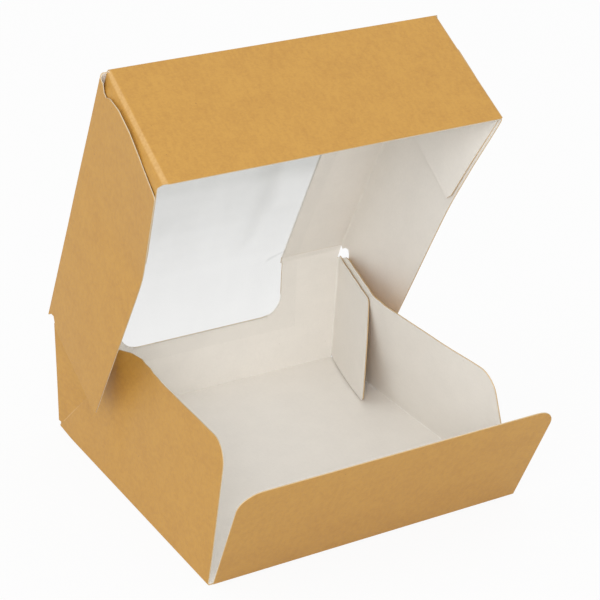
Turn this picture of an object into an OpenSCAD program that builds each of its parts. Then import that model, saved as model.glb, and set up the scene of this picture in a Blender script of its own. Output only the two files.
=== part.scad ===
// Takeaway box folded from one blank of kraft board, with a clear window in the lid.
// The box stands on its floor, with the front wall towards -Y and the lid held half open.
// Origin: middle of the floor's underside. Each panel is drawn on the middle of the board's
// thickness, and panels meet along crease lines.

/* [Board and film] */
// Thickness of the board
board_t = 0.5; // [0.3:0.05:0.8]
// Thickness of the window film
film_t = 0.1; // [0.05:0.01:0.2]
// How far a crease's bead stands proud of the board
crease_bead = 0.03; // [0.01:0.01:0.06]
// How deep a glued flap is pressed into the board that carries it
glue_press = 0.05; // [0.02:0.01:0.1]
// Play between a folding panel's crease and the board it folds on
fold_play = 0.17; // [0.1:0.01:0.3]
// Radius of the round corners of the tray's front wall and side walls
corner_r = 8; // [3:0.5:12]

/* [Tray] */
// Width of the floor, from side crease to side crease
tray_w = 120; // [90:1:180]
// Depth of the floor, from front crease to rear crease
tray_d = 129; // [100:1:190]
// Height of the rear wall along the board
rear_h = 50; // [40:0.5:70]
// How far the rear wall leans forward, in degrees
rear_lean = 4.6; // [0:0.1:8]
// Height of each side wall along the board
side_h = 50; // [36:0.5:50]
// How far each side wall leans in, in degrees
side_lean = 11; // [6:0.5:16]
// How far each side wall's front edge stands behind the front crease
side_setback = 0.7; // [0.6:0.1:3]
// How much further back the front edge is at the top of the side wall
side_rake = 1.3; // [0:0.1:4]

/* [Rear corners] */
// Where the diagonal crease ends on the side wall's top edge, measured from the rear crease
gusset_len = 52; // [40:1:60]
// Size of the notch cut from the gusset's lower corner, along the diagonal crease
gusset_notch = 5; // [3:0.5:8]
// Height of the same notch, up the rear wall
gusset_notch_h = 7; // [4:0.5:12]
// Gap between the gusset's top edge and the lid's crease
gusset_drop = 0.8; // [0.6:0.1:2]
// Length of the glue flap from the rear corner to its free edge
glue_flap_len = 41.5; // [30:0.5:44]
// How much further forward the glue flap's free edge is at the top
glue_flap_rake = 1.5; // [0:0.5:3]
// How far the glue flap's top edge is below the lid's crease at the corner
glue_flap_drop = 3; // [2:0.1:5]
// How far the glue flap's top edge rises towards its free edge
glue_flap_rise = 1.6; // [0:0.1:3]
// Gap between the glue flap and the floor
glue_flap_lift = 0.6; // [0.4:0.1:2]
// Size of the small relief cut where creases meet
relief = 2.4; // [1:0.1:3.5]

/* [Front wall] */
// How much taller the front wall is than the rear wall
front_rise = 1; // [0:0.1:2]
// Gap between each end of the front wall and the side crease
front_end_gap = 0.3; // [0.2:0.1:2]
// How far the front wall leans out, in degrees
front_lean = 28; // [10:1:50]

/* [Lid] */
// Angle of the lid above level, in degrees
lid_open = 59; // [30:1:80]
// Gap between the lid's side crease and the tray's side crease at the hinge
lid_side_gap = 1.8; // [1.5:0.1:3]
// Gap between the lid's front flap and the tray's front crease when the lid is shut
lid_front_gap = 3.4; // [2:0.1:6]
// How far the shut lid's side flaps hang clear of the table
lid_lift = 1.6; // [1:0.1:6]
// Angle between the lid's top panel and its front flap, in degrees
front_flap_angle = 90.7; // [88:0.1:95]
// How far the left side crease runs out beyond the hinge width at the front
splay_left = 2.6; // [0.6:0.1:4]
// How far the right side crease runs out beyond the hinge width at the front
splay_right = 0.8; // [0.6:0.1:4]
// How far the right side flap leans in, in degrees
lean_right = 1; // [0:0.1:1]
// Depth of the relief step behind the lid's front crease
lid_step = 1.6; // [1:0.1:4]
// Length of the slit that runs down from the lid's top between the tab and the side flap
tab_slit = 8; // [5:0.5:14]
// Length of each glued tab behind the front flap
tab_len = 50; // [30:1:60]
// How far each end of the tab is cut back along the front flap's edge
tab_trim = 1.6; // [1:0.1:6]
// How far the tab's free edge is cut back at each end
tab_taper = 4; // [0:0.5:10]
// Radius of the small round corners of the flaps
flap_r = 2; // [0.5:0.5:4]

/* [Window] */
// Width of the window
window_w = 69; // [40:1:76]
// Board left in front of the window on the lid
window_front = 24; // [15:1:40]
// How far the window runs down the rear wall
window_drop = 24; // [12:1:30]
// Radius of the window's corners
window_r = 8; // [3:0.5:12]
// Width of film glued to the board round the window
film_margin = 7; // [4:0.5:8]
// Distance from the lid's crease to the end of each half of the film
film_end = 1; // [0.8:0.1:2]

/* [Hidden] */
ARC_STEPS = 8;
BEAD_SIDES = 24;
bead_r = board_t / 2 + crease_bead;
// A crease on the floor sits a hair above the middle of the board, so it stays off the table.
floor_bead_up = crease_bead + 0.01;
// Clear distance from a folding crease's line to the board beside it.
fold_gap = bead_r + fold_play;
kraft = [0.80, 0.61, 0.35];
clear_film = [0.93, 0.95, 0.95, 0.4];

X = [1, 0, 0];
half_w = tray_w / 2;
half_d = tray_d / 2;
mid_z = board_t / 2;
// Directions up the rear wall, the right side wall and the front wall.
rear_up = [0, -sin(rear_lean), cos(rear_lean)];
side_up = [-sin(side_lean), 0, cos(side_lean)];
front_up = [0, -sin(front_lean), cos(front_lean)];
rear_mid = [0, half_d, mid_z];
front_mid = [0, -half_d, mid_z + floor_bead_up];
front_h = rear_h + front_rise;
front_half = half_w - front_end_gap;

// Rear right corner of the floor, and the end of the diagonal crease on the side wall.
corner = [half_w, half_d, mid_z];
gusset_top = corner - [0, gusset_len, 0] + side_h * side_up;
// The gusset lies in the plane of the corner's upright edge and the diagonal crease.
gusset_x = unit(across(gusset_top - corner, rear_up));
gusset_out = cross(rear_up, gusset_x);
// The glue flap lies against the gusset's inner face, so its crease is a little inboard.
flap_inset = (board_t - glue_press) / abs(gusset_out * X);
flap_corner = corner - flap_inset * X;
rear_half = half_w - flap_inset;

// The lid's hinge line, and directions along the lid and into it.
hinge = rear_mid + rear_h * rear_up;
lid_along = [0, -cos(lid_open), sin(lid_open)];
lid_in = [0, -sin(lid_open), -cos(lid_open)];
lid_half = half_w + lid_side_gap;
lid_len = hinge[1] + half_d + lid_front_gap;
lid_depth = hinge[2] - lid_lift;
flap_down = cos(front_flap_angle) * lid_along + sin(front_flap_angle) * lid_in;
lid_front = hinge + lid_len * lid_along;
step_len = lid_len - lid_step;
window_half = window_w / 2;
window_len = lid_len - window_front;
film_half = window_half + film_margin;

function unit(v) = v / norm(v);
// The part of v that is square to the unit direction d.
function across(v, d) = v - (v * d) * d;
// Points of an arc, from angle a to angle b.
function arc(c, r, a, b) = [
    for (i = [0:ARC_STEPS]) c + r * [cos(a + (b - a) * i / ARC_STEPS), sin(a + (b - a) * i / ARC_STEPS)]
];
// Where a line in the glue flap's plane, at height h above the floor's middle, is at distance p.
function level(p, h) = [p, (h - p * gusset_x[2]) / rear_up[2]];
function splay(side) = side < 0 ? splay_left : splay_right;
function lean(side) = side < 0 ? 0 : lean_right;
// Where the lid's side crease is, at distance u from the hinge.
function side_at(side, u) = side * (lid_half + splay(side) * u / lid_len);

// Places flat board with its middle in the plane through o, with ex and ey as its own axes.
module panel(o, ex, ey, thick = board_t, lift = 0) {
    ez = cross(ex, ey);
    p = o + lift * ez;
    multmatrix([
        [ex[0], ey[0], ez[0], p[0]],
        [ex[1], ey[1], ez[1], p[1]],
        [ex[2], ey[2], ez[2], p[2]]
    ])
    linear_extrude(height = thick, center = true)
    children();
}

// The rounded bead of a crease from a to b.
module crease(a, b) {
    ez = unit(b - a);
    ex = unit(cross(ez, abs(ez[0]) > 0.5 ? [0, 0, 1] : X));
    ey = cross(ez, ex);
    multmatrix([
        [ex[0], ey[0], ez[0], a[0]],
        [ex[1], ey[1], ez[1], a[1]],
        [ex[2], ey[2], ez[2], a[2]]
    ])
    cylinder(r = bead_r, h = norm(b - a), $fn = BEAD_SIDES);
}

// The window's outline from the hinge line, running len along its panel.
module window_cut(len) {
    polygon(concat(
        [[-window_half, -board_t], [window_half, -board_t]],
        arc([window_half - window_r, len - window_r], window_r, 0, 90),
        arc([-window_half + window_r, len - window_r], window_r, 90, 180)
    ));
}

module floor_panel() {
    panel([0, 0, mid_z], X, [0, 1, 0])
    polygon([
        [-half_w, -half_d + fold_gap],
        [half_w, -half_d + fold_gap],
        [half_w, half_d - relief],
        [half_w - relief / 2, half_d],
        [-half_w + relief / 2, half_d],
        [-half_w, half_d - relief]
    ]);
    lift = [0, 0, floor_bead_up];
    crease(rear_mid + lift - (rear_half - relief) * X, rear_mid + lift + (rear_half - relief) * X);
}

module rear_wall() {
    panel(rear_mid, X, rear_up)
    difference() {
        polygon([
            [-rear_half + relief / 2, 0],
            [rear_half - relief / 2, 0],
            [rear_half, relief],
            [rear_half, rear_h - relief],
            [rear_half - relief / 2, rear_h - fold_gap],
            [-rear_half + relief / 2, rear_h - fold_gap],
            [-rear_half, rear_h - relief],
            [-rear_half, relief]
        ]);
        translate([0, rear_h])
        mirror([0, 1])
        window_cut(window_drop);
    }
}

// The right side wall, forward of the diagonal crease.
module side_wall() {
    front_y = half_d + half_d - side_setback;
    panel(corner, [0, -1, 0], side_up)
    polygon(concat(
        [[relief, 0], [front_y, 0]],
        arc([front_y - side_rake - corner_r, side_h - corner_r], corner_r, 0, 90),
        [[gusset_len, side_h], relief / 2 * unit([gusset_len, side_h])]
    ));
    lift = [0, 0, floor_bead_up];
    crease(corner + lift - [0, relief, 0], corner + lift - [0, front_y - relief, 0]);
}

// The part of the side wall behind the diagonal crease, pulled in with the corner.
module gusset() {
    top = [(gusset_top - corner) * gusset_x, (gusset_top - corner) * rear_up];
    foot = gusset_notch * unit(top);
    panel(corner, gusset_x, rear_up)
    polygon([
        foot,
        top,
        [relief, rear_h - gusset_drop],
        [0, rear_h - gusset_drop - relief],
        [0, gusset_notch_h],
        [foot[0], gusset_notch_h]
    ]);
    crease(corner + relief * unit(gusset_top - corner), gusset_top - relief / 2 * unit(gusset_top - corner));
}

// The flap folded from the rear wall and glued to the gusset's inner face.
module glue_flap() {
    low = glue_flap_lift + board_t / 2;
    end = glue_flap_len + glue_flap_rake;
    top = rear_h - glue_flap_drop + glue_flap_rise;
    panel(flap_corner, gusset_x, rear_up)
    polygon(concat(
        [[0, relief], level(relief, low), level(glue_flap_len - flap_r, low)],
        [level(glue_flap_len, low + flap_r)],
        arc([end - flap_r, top - flap_r], flap_r, 0, 90),
        [[relief, rear_h - glue_flap_drop], [0, rear_h - glue_flap_drop - relief]]
    ));
    crease(flap_corner + 1.5 * relief * rear_up, flap_corner + (rear_h - glue_flap_drop - relief) * rear_up);
}

module tray() {
    color(kraft)
    union() {
        floor_panel();
        rear_wall();
        for (side = [0, 1]) {
            mirror([side, 0, 0]) {
                side_wall();
                gusset();
                glue_flap();
            }
        }
    }
}

module front_wall() {
    color(kraft)
    union() {
        panel(front_mid, X, front_up)
        polygon(concat(
            [[-front_half, 0], [front_half, 0]],
            arc([front_half - corner_r, front_h - corner_r], corner_r, 0, 90),
            arc([-front_half + corner_r, front_h - corner_r], corner_r, 90, 180)
        ));
        crease(front_mid - (front_half - relief) * X, front_mid + (front_half - relief) * X);
    }
}

module lid_top() {
    panel(hinge, X, lid_along)
    difference() {
        polygon([
            [-lid_half + relief / 2, 0],
            [lid_half - relief / 2, 0],
            [side_at(1, relief), relief],
            [side_at(1, step_len), step_len],
            [lid_half, step_len],
            [lid_half, lid_len],
            [-lid_half, lid_len],
            [-lid_half, step_len],
            [side_at(-1, step_len), step_len],
            [side_at(-1, relief), relief]
        ]);
        window_cut(window_len);
    }
    for (side = [-1, 1]) {
        crease(hinge + side * (window_half + relief / 4) * X, hinge + side * (lid_half - relief) * X);
    }
}

module lid_front_flap() {
    panel(lid_front, X, flap_down)
    polygon([
        [-lid_half, 0],
        [lid_half, 0],
        [lid_half, lid_depth - relief / 4],
        [lid_half - relief / 2, lid_depth],
        [-lid_half + relief / 2, lid_depth],
        [-lid_half, lid_depth - relief / 4]
    ]);
    crease(lid_front - (lid_half - relief / 2) * X, lid_front + (lid_half - relief / 2) * X);
}

// The lid's side flap, -1 for the left and 1 for the right.
module lid_side_flap(side) {
    start = hinge + side * lid_half * X;
    along = unit(lid_len * lid_along + side * splay(side) * X);
    down = unit(across(cos(lean(side)) * lid_in - side * sin(lean(side)) * X, along));
    panel(start, along, down)
    polygon(concat(
        [[relief, 0], [step_len, 0], [step_len - lid_step, relief], [step_len - 2 * lid_step, tab_slit]],
        [[step_len - lid_step, tab_slit + relief / 2], [step_len, lid_depth / 3]],
        [[step_len - lid_step, lid_depth * 2 / 3]],
        arc([step_len - 3 * lid_step - flap_r, lid_depth - flap_r], flap_r, 0, 90),
        arc([flap_r, lid_depth - flap_r], flap_r, 90, 180),
        [[0, relief]]
    ));
    crease(start + 1.5 * relief * along, start + (step_len - lid_step) * along);
}

// The tab folded back from the front flap's end and glued inside the side flap.
module lid_tab(side) {
    root = lid_front + side * lid_half * X;
    seat = hinge + (lid_len - tab_len) * lid_along
        + (side_at(side, lid_len - tab_len)
            - side * (sin(lean(side)) * lid_depth / 2 + board_t - glue_press)) * X;
    back = unit(across(seat - root, flap_down));
    panel(root, back, flap_down)
    polygon([
        [0, tab_trim],
        [tab_len, tab_trim + tab_taper],
        [tab_len, lid_depth - tab_trim - tab_taper],
        [tab_len - tab_taper, lid_depth - tab_trim],
        [tab_taper, lid_depth - tab_trim],
        [0, lid_depth - tab_trim / 2]
    ]);
    crease(root + tab_trim * flap_down, root + (lid_depth - tab_trim) * flap_down);
}

module lid() {
    color(kraft)
    union() {
        lid_top();
        lid_front_flap();
        for (side = [-1, 1]) {
            lid_side_flap(side);
            lid_tab(side);
        }
    }
}

// The film's two halves, glued to the inner face of the rear wall and of the lid.
module rear_film() {
    color(clear_film)
    panel(rear_mid, X, rear_up, film_t, (board_t + film_t) / 2)
    polygon([
        [-film_half, rear_h - window_drop - film_margin],
        [film_half, rear_h - window_drop - film_margin],
        [film_half, rear_h - film_end],
        [-film_half, rear_h - film_end]
    ]);
}

module lid_film() {
    color(clear_film)
    panel(hinge, X, lid_along, film_t, (board_t + film_t) / 2)
    polygon([
        [-film_half, film_end],
        [film_half, film_end],
        [film_half, window_len + film_margin],
        [-film_half, window_len + film_margin]
    ]);
}

tray();
front_wall();
lid();
rear_film();
lid_film();
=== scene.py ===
"""Takeaway box folded from kraft board, with a film window in its lid.

Each piece of board is cut as flat panels on the middle of its thickness, joined along its creases,
rounded there and given its thickness. The brown face is slot 0, the pale lining slot 1, the cut edge slot 2.
"""

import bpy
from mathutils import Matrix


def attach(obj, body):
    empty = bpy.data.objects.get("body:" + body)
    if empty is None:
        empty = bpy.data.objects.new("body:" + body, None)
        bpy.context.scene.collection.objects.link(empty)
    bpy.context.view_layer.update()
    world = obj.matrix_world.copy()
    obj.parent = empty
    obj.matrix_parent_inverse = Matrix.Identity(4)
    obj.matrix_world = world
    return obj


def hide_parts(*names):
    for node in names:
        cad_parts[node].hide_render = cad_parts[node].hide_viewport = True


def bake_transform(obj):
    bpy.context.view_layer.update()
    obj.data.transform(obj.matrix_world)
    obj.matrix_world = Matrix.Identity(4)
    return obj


bl_info = {
    "name": "Takeaway box",
    "version": (1, 0, 0),
    "blender": (4, 5, 0),
    "location": "3D View > Sidebar > Takeaway box",
    "description": "Folds a kraft board takeaway box with a window in its lid",
    "category": "Object",
}

from math import cos, exp, hypot, log, pi, radians, sin, tan
from types import SimpleNamespace

import bmesh
import bpy
from bpy.props import FloatProperty, FloatVectorProperty, PointerProperty
from bpy.types import Operator, Panel, PropertyGroup
from mathutils import Matrix, Vector, noise

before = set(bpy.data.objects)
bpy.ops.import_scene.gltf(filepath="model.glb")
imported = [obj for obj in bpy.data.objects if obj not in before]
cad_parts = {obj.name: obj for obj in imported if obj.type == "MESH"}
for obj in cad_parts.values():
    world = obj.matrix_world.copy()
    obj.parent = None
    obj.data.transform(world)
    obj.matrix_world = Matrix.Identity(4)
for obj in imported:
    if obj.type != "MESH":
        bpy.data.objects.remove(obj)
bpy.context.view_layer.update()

MM = 0.001
X, Y, Z = Vector((1, 0, 0)), Vector((0, 1, 0)), Vector((0, 0, 1))

# The board's materials, and their slots.
BOARD_MATERIALS = ("Kraft face", "Pale lining", "Cut board edge")
KRAFT_SLOT, LINING_SLOT, CUT_SLOT = range(3)

# Numbers of the tray's rear wall and of the lid's front flap, counted from 0 in the order of cutting.
REAR_SHEET = 1
LID_FRONT_SHEET = 1

# What the attribute "inward" says of a point: beside the pale lining, or on a cut side of the window, which
# faces sideways and lies no further out than the window's half width and this slack.
BESIDE_LINING, AT_WINDOW = 1.0, 2.0
SIDEWAYS, WINDOW_SLACK = 0.5, 0.3 * MM

# How finely round corners, folds and panels are cut, where an edge stays sharp, and what counts as one point.
ROUND_STEPS = 7
FOLD_STEPS = 4
GRID_STEP = 4 * MM
SHARP_ANGLE = radians(35)
WELD = 0.05 * MM
ON_PLANE = 0.001 * MM

# Where the panels are cut so that they can bend. The lid's are across, along and down from the hinge.
TRAY_GRID = (X, -52 * MM, 52 * MM), (Y, -60 * MM, 60 * MM), (Z, 4 * MM, 44 * MM)
FRONT_GRID = (X, -56 * MM, 56 * MM), (Z, 4 * MM, 44 * MM)
LID_GRID = (-60 * MM, 60 * MM), (4 * MM, 124 * MM), (4 * MM, 44 * MM)

# Radius of the folds, in crease radii.
TRAY_FOLD, GLUED_FOLD, LID_FOLD = 0.8, 1.5, 1.9

# The line pressed into a crease, and the least bend that counts as one.
CREASE_BEAD = 0.16 * MM
BEND_SEEN = 0.002 * MM

# How far the board stops short of a crease that turns. The crease's strip reaches past that by its lap.
SIDE_SETBACK = 0.7 * MM
HINGE_MARGIN = 1.2 * MM
FRONT_MARGIN = SIDE_SETBACK
STRIP_LAP = 0.3 * MM
STRIP_FOLD = 0.7
STRIP_THINNER = 0.01 * MM

# Height of the board's unevenness, width of its waves and where it starts above the floor, then its rise.
TRAY_WARP = 0.12 * MM, 38 * MM, 1 * MM
FRONT_WARP = 0.06 * MM, 45 * MM, 2 * MM
LID_WARP = 0.15 * MM, 45 * MM
WARP_RISE = 8 * MM

# Tray: clearances, cuts and corners. -1 is the left side, 1 the right.
GLUE_PRESS = 0.05 * MM
FLOOR_RISE = 0.04 * MM
RELIEF = 2.4 * MM
FOOT_RELIEF = 1.2 * MM
SIDE_RAKE = {-1: 1.3 * MM, 1: -0.35 * MM}
SIDE_CORNER = {-1: 8.5 * MM, 1: 7.5 * MM}
GUSSET_NOTCH = 5 * MM
GUSSET_NOTCH_H = 2.4 * MM
GUSSET_DROP = 0.8 * MM
GUSSET_CUT = 9.6 * MM
GUSSET_CUT_H = 5.4 * MM
FLAP_LEN = 42.9 * MM
FLAP_RAKE = 0.5 * MM
FLAP_DROP = 3.6 * MM
FLAP_RISE = 3 * MM
FLAP_LIFT = 0.6 * MM
CORNER_SMALL = 2 * MM

# The glue flap's play against the gusset, and its lower edge's bow, in an arc along it that falls off upwards.
FLAP_PLAY = 0.25 * MM
FLAP_PLAY_FROM = 0.02, 0.15
FLAP_BOW = 1.9 * MM
FLAP_ARC = 0.6 * pi
FLAP_FALL = 1.4

# Front wall: how far it stands above the side walls, and its half widths at the foot and the top.
FRONT_RISE = 0.98 * MM
FRONT_ENDS = {-1: (59.0 * MM, 60.05 * MM), 1: (59.5 * MM, 59.15 * MM)}

# How wide the bend at the top of each gusset is softened, and how often.
CORNER_SOFT = {-1: (9 * MM, 3), 1: (6 * MM, 2)}

# A side wall's crease mark, its wear with painted highlight and painted shade, fades over these heights, this far
# out and this far in front of the rear wall.
CREASE_FADE = 8 * MM, 20 * MM
CREASE_FADE_OUT = 40 * MM
CREASE_FADE_REAR = 10 * MM

# How far each side wall's top edge stands out from its straight line, in mm at distances in mm from the rear.
SIDE_BENDS = {
    -1: (
        (4, 0.5), (30, 1.2), (44, 1.4), (52, -0.9), (57, -1.9),
        (63, -1.1), (70, -0.2), (80, 0.5), (100, 1.0), (120, 1.4),
    ),
    1: ((4, 1.6), (16, 0.7), (28, -0.2), (40, -1.1), (52, -2.0), (60, -2.7), (67, -2.5), (95, -2.1), (124, -0.9)),
}

# This grows with height to the top, over these half widths, which lean in by as much as the wall.
SIDE_TOP = 50 * MM
SIDE_POWER = {-1: 1.4, 1: 1.0}
SIDE_FROM = 30 * MM, 58 * MM
SIDE_LEAN = 8 * MM

# How far the left side wall's foot stands out, and from where to where this comes in.
SIDE_FOOT = 0.48 * MM
SIDE_FOOT_FROM = 20 * MM, 58 * MM
SIDE_FOOT_REAR = 15 * MM

# Lid: clearances and steps, how far each side stands out at the hinge and spreads towards the front, how far
# the side flaps lean in, and the front flap's angle to the lid.
LID_SIDE_GAP = 1.8 * MM
LID_FRONT_GAP = 3.4 * MM
LID_LIFT = 1.6 * MM
LID_STEP = 1.2 * MM
LID_NOTCH = 1.3 * MM
WIDEN = {-1: 1.15 * MM, 1: 0.0}
SPLAY = {-1: 1.44 * MM, 1: 0.8 * MM}
LEAN = {-1: 0.0, 1: radians(1)}
FRONT_FLAP_ANGLE = radians(90.7)

# Side flaps: cut edges in mm from the lid's front (or at the rear, from the hinge) and down from the crease.
SIDE_FLAP_SHORT = 0.6 * MM
SIDE_FLAP_TAPER = {-1: 0.6 * MM, 1: 3.4 * MM}
SIDE_FLAP_FRONT = {
    -1: ((2.4, 2), (2.5, 3.3), (4.7, 5.1), (5.0, 6.9), (3.0, 9.4), (1.3, 16), (1.7, 25), (3.6, 34), (7.4, 47.9)),
    1: ((2.3, 2), (2.4, 3.3), (4.6, 5.1), (4.8, 6.9), (3.0, 9.4), (1.4, 16), (1.5, 26), (1.8, 36), (2.0, 47.9)),
}
SIDE_FLAP_REAR = ((0, 7.6), (2.2, 6.5), (3.7, 4.9), (2.7, 3.1))

# Side flaps: the inward bow, where it is most and where it ends in mm from the hinge, and how it fades.
LID_BOW = {-1: 4.15 * MM, 1: 2.4 * MM}
LID_CREST = {-1: (77, 124), 1: (82, 127)}
BOW_FALL = 45
BOW_CORNER = 12
BOW_POWER = 1.2
BOW_FROM = 58 * MM, 0.01

# The right side flap spreads at the front and is pinched behind, both in mm from the hinge.
LID_SPREAD = 0.92 * MM
LID_SPREAD_FROM = 100, 127
LID_PINCH = 0.9 * MM
LID_PINCH_FROM = 50, 120

# Glued tabs: trims, how far they end above the flap's lower edge at root and end, and their gap to the side
# flap. Near the root the foot is tucked in (or out) by TAB_TUCK, over these shares of the depth and these mm.
TAB_TRIM = 0.4 * MM
TAB_TAPER = 3 * MM
TAB_RISE = {-1: (1.6 * MM, 1.1 * MM), 1: (1.5 * MM, 2.15 * MM)}
TAB_GAP = {-1: 0.1 * MM, 1: 0.9 * MM}
TAB_TUCK = {-1: -1.75 * MM, 1: 0.35 * MM}
TAB_TUCK_LOW = 0, 0.1
TAB_TUCK_BACK = 0, 4
TAB_TUCK_LEN = 38

# Film: its glued margin, its grid, its gap to the board, and how wide it comes free at the window's edges.
FILM_MARGIN = 7 * MM
FILM_CELLS = 166, 160
FILM_LIFT = 0.03 * MM
FILM_FREE = 6 * MM
FILM_FREE_FRONT = 8 * MM

# Reach of the film's fold at the crease: the least, what is added, and over what width.
FOLD_LEAST, FOLD_MORE, FOLD_WIDE = 2 * MM, 9 * MM, 22 * MM

# The slack film's waves: width, length, where they start, how much finer the second are, and both heights.
WAVE_WIDE, WAVE_LONG, WAVE_START, WAVE_FINER = 26 * MM, 40 * MM, 0.3, 3.1
WAVE_HIGH, WAVE_LOW = 0.45 * MM, 0.12 * MM

# Its soft pleat down the lid: depth, width, a point on it, its slope, and where it starts, ends and fades.
PLEAT_DEEP, PLEAT_WIDE = 0.8 * MM, 4.5 * MM
PLEAT_X, PLEAT_ALONG, PLEAT_SLOPE = 16 * MM, 12 * MM, 0.13
PLEAT_FROM, PLEAT_END, PLEAT_FADE = (4 * MM, 18 * MM), 96 * MM, 30 * MM

# The film's haze with painted shade, which grows up the lid, at distances in mm from the crease, up the lid from
# the rear wall, and where it is glued.
HAZE_AND_SHADE_ROWS = (
    (-24, 0.086), (4, 0.117), (12, 0.134), (20, 0.146), (28, 0.160),
    (36, 0.185), (44, 0.20), (52, 0.216), (60, 0.265), (104, 0.29),
)
GLUED_HAZE = 0.010
GLUE_SIDE, GLUE_CORNER = 0.1, 0.3

# Painted marks in the haze, with their strength first and places in mm: painted shade along a long fold, painted
# light in the clear strip beside it, and painted shade in the front's denser part, along a short nick near the
# crease and in a soft patch.
FOLD_ROWS = ((8, 11.5), (20, 15.5), (44, 16.5), (64, 16.5))
FOLD_SHADE, FOLD_LEFT, FOLD_RIGHT, FOLD_FROM = 0.04, 5.0, 3.0, (6, 22)
CLEAR_LIGHT, CLEAR_BESIDE, CLEAR_FROM, CLEAR_TO = 0.02, (4, 8), (30, 42), (48, 54)
FRONT_SHADE, FRONT_FROM, FRONT_RIGHT = 0.03, (50, 58), (6, 12)
NICK_SHADE, NICK_X, NICK_ALONG, NICK_SLOPE, NICK_WIDE, NICK_FROM = 0.06, 27.8, 1.9, 0.54, 0.8, (26.5, 28.5)
PATCH_SHADE, PATCH_X, PATCH_WIDE, PATCH_ALONG, PATCH_LONG = 0.02, -24.5, 5, 39, 6

# The board's grain: scale per metre (two where it is drawn out), detail and roughness of each noise, the
# fibres' directions, and which part of the noise shows them. Then the flecks' scale, choice, size and softness.
CLOUD = 95, 3, 0.5
MOTTLE = (620, 330), 2, 0.5
GRAIN = 1100, 4, 0.6
FIBRE = (330, 2600), 2, 0.5
FIBRE_TURNS, FIBRE_SPAN = (0.35, 1.30, 2.45), (0.60, 0.74)
FLECK_SCALE, FLECK_PICK, FLECK_SIZE, FLECK_SOFT = 230, (0.55, 1.0), 0.075, 0.03

# Looks of the two faces. The grain's values are added up with these weights, and the sum's span gives the tone.
# Along the creases the kraft gets wear with a painted highlight, and the lining gets painted shade.
KRAFT_LOOK = SimpleNamespace(
    tone={"Grain": 1.1, "Cloud": 0.55, "Mottle": 0.75, "Fibre": -0.22}, span=(0.755, 1.355),
    flecked=0.55, fleck=(0.20, 0.09, 0.025), crease_wear_highlight_and_shade_by=({"Grain": 0.5},), crease_wear_highlight_and_shade=(0.74, 0.52, 0.27),
    rough_by="Grain", rough=(0.50, 0.64), height={"Grain": 1, "Fibre": 0.35}, bump=(0.03 * MM, 0.5),
)
LINING_LOOK = SimpleNamespace(
    tone={"Grain": 1, "Cloud": 1, "Mottle": 0.5}, span=(0.95, 1.55, 0.0, 0.55),
    flecked=0.25, fleck=(0.42, 0.36, 0.30), crease_wear_highlight_and_shade_by=({}, 0.4), crease_wear_highlight_and_shade=(0.80, 0.77, 0.72),
    rough_by="Cloud", rough=(0.46, 0.58), height={"Grain": 1}, bump=(0.02 * MM, 0.4),
)
NOISE_SPAN = 0.3, 0.7
LINING_SHADE = 0.92

# The cut edge: its fray, how far this carries the pale side, and the painted light that whitens the window's cut
# sides where the film shades them: the span of "inward" that takes it, and its colour.
FRAY, FRAY_SHARE = (1600, 3), 0.5
PALE_SPAN, WINDOW_PAINTED_LIGHT_SPAN = (0.42, 1.05), (1.1, 1.9)
WINDOW_EDGE_PAINTED_LIGHT = (1.0, 0.97, 0.93)
EDGE_ROUGH, EDGE_BUMP = 0.85, (0.05 * MM, 0.6)

# The film's look.
FILM_NOISE, FILM_VARIES, FILM_SHADE = ((60, 18), 4, 0.55), (0.92, 1.08), 0.9
FILM_ROUGH, FILM_IOR, FILM_BUMP = 0.18, 1.5, (0.2 * MM, 0.3)

# Stage: lamps in metres, the floor and how white the camera sees it, and the camera.
KEY_PLACE, KEY_SIZE = (-0.70, -1.28, 0.90), 0.8
SIDE_PLACE, SIDE_SIZE = (-1.5, -0.2, 0.7), 0.9
LAMP_AIM = (0, 0, 0.05)
FLOOR_HALF = 4
FLOOR_DROP = 0.1 * MM
FLOOR_WHITE = 0.985
FLOOR_SHARE = 0.94
FLOOR_ROUGH = 0.9
SENSOR_MM = 36
CLIP = 0.02, 20


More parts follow.
